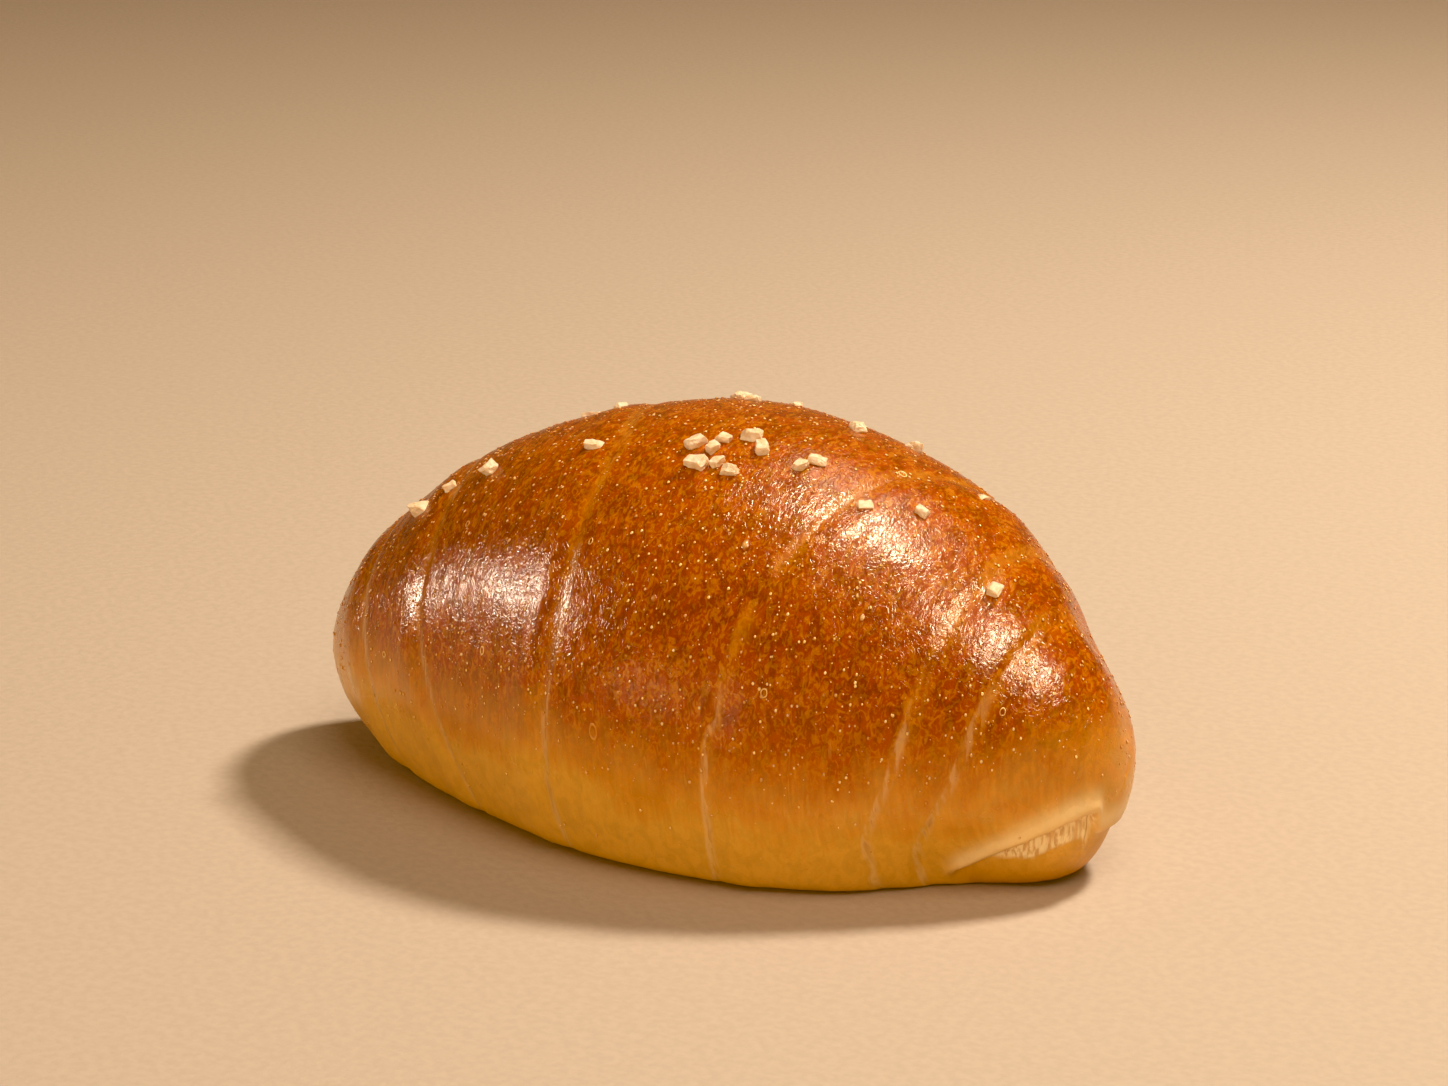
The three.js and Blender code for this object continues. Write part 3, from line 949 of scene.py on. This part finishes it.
def salt_grain_mesh(node_object, sink, seed):
    """A chipped flat crystal pressed down onto the crust"""
    chance = np.random.default_rng(seed)
    grain = bmesh.new()
    grain.from_mesh(node_object.data)
    bmesh.ops.remove_doubles(grain, verts=grain.verts, dist=1e-6)
    middle = sum((vertex.co for vertex in grain.verts), Vector()) / len(grain.verts)
    for _ in range(CHIPPED_CORNERS):
        chip_corner(grain, middle, chance)
    bmesh.ops.bevel(
        grain, geom=list(grain.edges), offset=BEVEL * MM, segments=1, affect="EDGES", clamp_overlap=True)
    bmesh.ops.dissolve_degenerate(grain, dist=SHORTEST_EDGE * MM, edges=grain.edges)
    bmesh.ops.triangulate(grain, faces=grain.faces[:])
    for _ in range(2):
        long_edges = [edge for edge in grain.edges if edge.calc_length() > LONGEST_EDGE * MM]
        bmesh.ops.subdivide_edges(grain, edges=long_edges, cuts=1)
        bmesh.ops.triangulate(grain, faces=grain.faces[:])
    outward = Vector((0, middle.y, 1.5 * middle.z)).normalized()
    low = min((vertex.co - middle).dot(outward) for vertex in grain.verts)
    shift = Vector((seed, 0, 0))
    for vertex in grain.verts:
        from_middle = vertex.co - middle
        chip = CHIP_DEPTH * noise.noise(vertex.co / (CHIP_SIZE * MM) + shift)
        pit = PIT_DEPTH * noise.noise(vertex.co / (PIT_SIZE * MM) + shift)
        rise = from_middle.dot(outward) - low
        vertex.co += CRYSTAL_GROWTH * from_middle + from_middle.normalized() * (chip + pit) * MM
        vertex.co -= outward * (sink + CRYSTAL_FLATTENING * rise)
    bmesh.ops.recalc_face_normals(grain, faces=grain.faces)
    mesh = bpy.data.meshes.new(node_object.name + "_crystal")
    grain.to_mesh(mesh)
    grain.free()
    return mesh


class SALTBREAD_OT_sprinkle_salt(bpy.types.Operator):
    """Sets the coarse salt crystals on the crest"""

    bl_idname = "saltbread.sprinkle_salt"
    bl_label = "Sprinkle Salt"

    def execute(self, context):
        material = salt_material(context.scene.bake_colours)
        for seed, name in enumerate(SALT_NODES):
            mesh = salt_grain_mesh(frame["nodes"][name], context.scene.toppings.salt_sink, seed)
            if len(mesh.polygons) == 0:
                raise RuntimeError(f"{name} has no faces")
            grain = make_object(name + "_crystal", mesh, material)
            grain.data.shade_flat()
            attach(grain, "salt", name)
        return {"FINISHED"}


# ---------------------------------------------------------------- studio


def direction(turn, rise):
    """Unit vector towards a compass turn in degrees from the front (-Y) towards +X, and a rise"""
    turn, rise = math.radians(turn), math.radians(rise)
    return Vector((math.sin(turn) * math.cos(rise), -math.cos(turn) * math.cos(rise), math.sin(rise)))


def add_softbox(name, turn, rise, distance, size, power, colour, highlight):
    """A soft lamp that faces the roll and either lights it or shows as a highlight on it"""
    lamp = bpy.data.lights.new(name, "AREA")
    lamp.shape = "RECTANGLE"
    lamp.size, lamp.size_y = size
    lamp.energy = power
    lamp.color = colour
    made = bpy.data.objects.new(name, lamp)
    made.location = LAMP_AIM + direction(turn, rise) * distance
    made.rotation_euler = direction(turn, rise).to_track_quat("Z", "Y").to_euler()
    made.visible_glossy = highlight
    made.visible_diffuse = not highlight
    bpy.context.scene.collection.objects.link(made)


# Lamps that light the scene cast no highlight; the others only show as highlights
SOFTBOXES = (
    # name, turn, rise, distance, (width, height), power, colour, shows as highlight
    ("key", 143, 57, 0.9, (0.12, 0.12), 11.0, (1.0, 0.95, 0.88), False),
    ("top_fill", 50, 60, 0.9, (0.5, 0.5), 3.5, (1.0, 0.9, 0.78), False),
    ("front_panel", 5, 4, 1.2, (1.0, 0.3), 7.0, (1.0, 0.9, 0.76), False),
    ("overhead", 96, 77, 0.9, (0.24, 0.16), 1.4, (1.0, 0.87, 0.66), True),
    ("overhead_core", 95, 76, 0.9, (0.15, 0.11), 8.0, (1.0, 0.93, 0.78), True),
    ("rear_sheen", 172, 66, 0.9, (0.3, 0.2), 1.6, (1.0, 0.88, 0.68), True),
    ("right_softbox", 82, 34, 0.8, (0.26, 0.24), 2.6, (1.0, 0.87, 0.7), True),
    ("right_core", 82, 35, 0.8, (0.12, 0.14), 4.0, (1.0, 0.93, 0.8), True),
    ("left_softbox", -66, 12, 0.8, (0.12, 0.2), 0.3, (1.0, 0.87, 0.7), True),
    ("left_core", -67, 13, 0.8, (0.08, 0.11), 2.6, (1.0, 0.93, 0.82), True),
    ("front_glow", -21, 1, 0.9, (0.24, 0.12), 0.45, (1.0, 0.85, 0.66), True),
)


class SALTBREAD_OT_set_studio(bpy.types.Operator):
    """Sets up the camera, the pale floor and the soft lamps"""

    bl_idname = "saltbread.set_studio"
    bl_label = "Set Studio"

    def execute(self, context):
        scene = context.scene
        studio = scene.studio
        aim = Vector((0, 0, studio.aim_height))
        back = direction(math.degrees(studio.view_turn), math.degrees(studio.view_rise))
        camera = bpy.data.objects.new("camera", bpy.data.cameras.new("camera"))
        camera.data.lens = studio.lens
        camera.data.shift_x, camera.data.shift_y = CAMERA_SHIFT
        camera.data.clip_start = 0.01
        camera.location = aim + back * studio.distance
        camera.rotation_euler = back.to_track_quat("Z", "Y").to_euler()
        scene.collection.objects.link(camera)
        scene.camera = camera

        bpy.ops.mesh.primitive_circle_add(
            vertices=96, radius=FLOOR_RADIUS, fill_type="NGON", location=(0, 0, 0))
        floor = context.object
        floor.name = "floor"
        floor.data.transform(Matrix.Translation((0, 0, -FLOOR_GAP)))
        floor.data.materials.append(floor_material(studio.floor))
        for softbox in SOFTBOXES:
            add_softbox(*softbox)

        world = bpy.data.worlds.new("room")
        world.use_nodes = True
        background = world.node_tree.nodes["Background"]
        background.inputs["Color"].default_value = (*studio.ambient, 1.0)
        background.inputs["Strength"].default_value = studio.ambient_strength
        scene.world = world
        view = scene.view_settings
        view.view_transform = "Standard"
        view.use_curve_mapping = True
        view.curve_mapping.black_level = studio.black_level
        view.curve_mapping.update()
        return {"FINISHED"}


# ---------------------------------------------------------------- panel and registration


class SALTBREAD_PT_panel(bpy.types.Panel):
    """Lists the steps of making the roll and their settings"""

    bl_label = "Salt Bread Roll"
    bl_idname = "SALTBREAD_PT_panel"
    bl_space_type = "VIEW_3D"
    bl_region_type = "UI"
    bl_category = "Bakery"

    def draw(self, context):
        for operator in OPERATORS:
            self.layout.operator(operator.bl_idname)
        for name, group in GROUPS.items():
            box = self.layout.box()
            for field in group.__annotations__:
                box.prop(getattr(context.scene, name), field)


OPERATORS = (
    SALTBREAD_OT_set_studio, SALTBREAD_OT_bake_roll, SALTBREAD_OT_raise_blisters,
    SALTBREAD_OT_raise_large_blisters, SALTBREAD_OT_sprinkle_salt,
)
CLASSES = (*GROUPS.values(), *OPERATORS, SALTBREAD_PT_panel)


def register():
    for registered in CLASSES:
        bpy.utils.register_class(registered)
    for name, group in GROUPS.items():
        setattr(bpy.types.Scene, name, PointerProperty(type=group))


def unregister():
    for name in GROUPS:
        delattr(bpy.types.Scene, name)
    for registered in reversed(CLASSES):
        bpy.utils.unregister_class(registered)


def main():
    register()
    bpy.ops.saltbread.set_studio()
    bpy.ops.saltbread.bake_roll()
    bpy.ops.saltbread.raise_blisters()
    bpy.ops.saltbread.raise_large_blisters()
    bpy.ops.saltbread.sprinkle_salt()


if __name__ == "__main__":
    main()
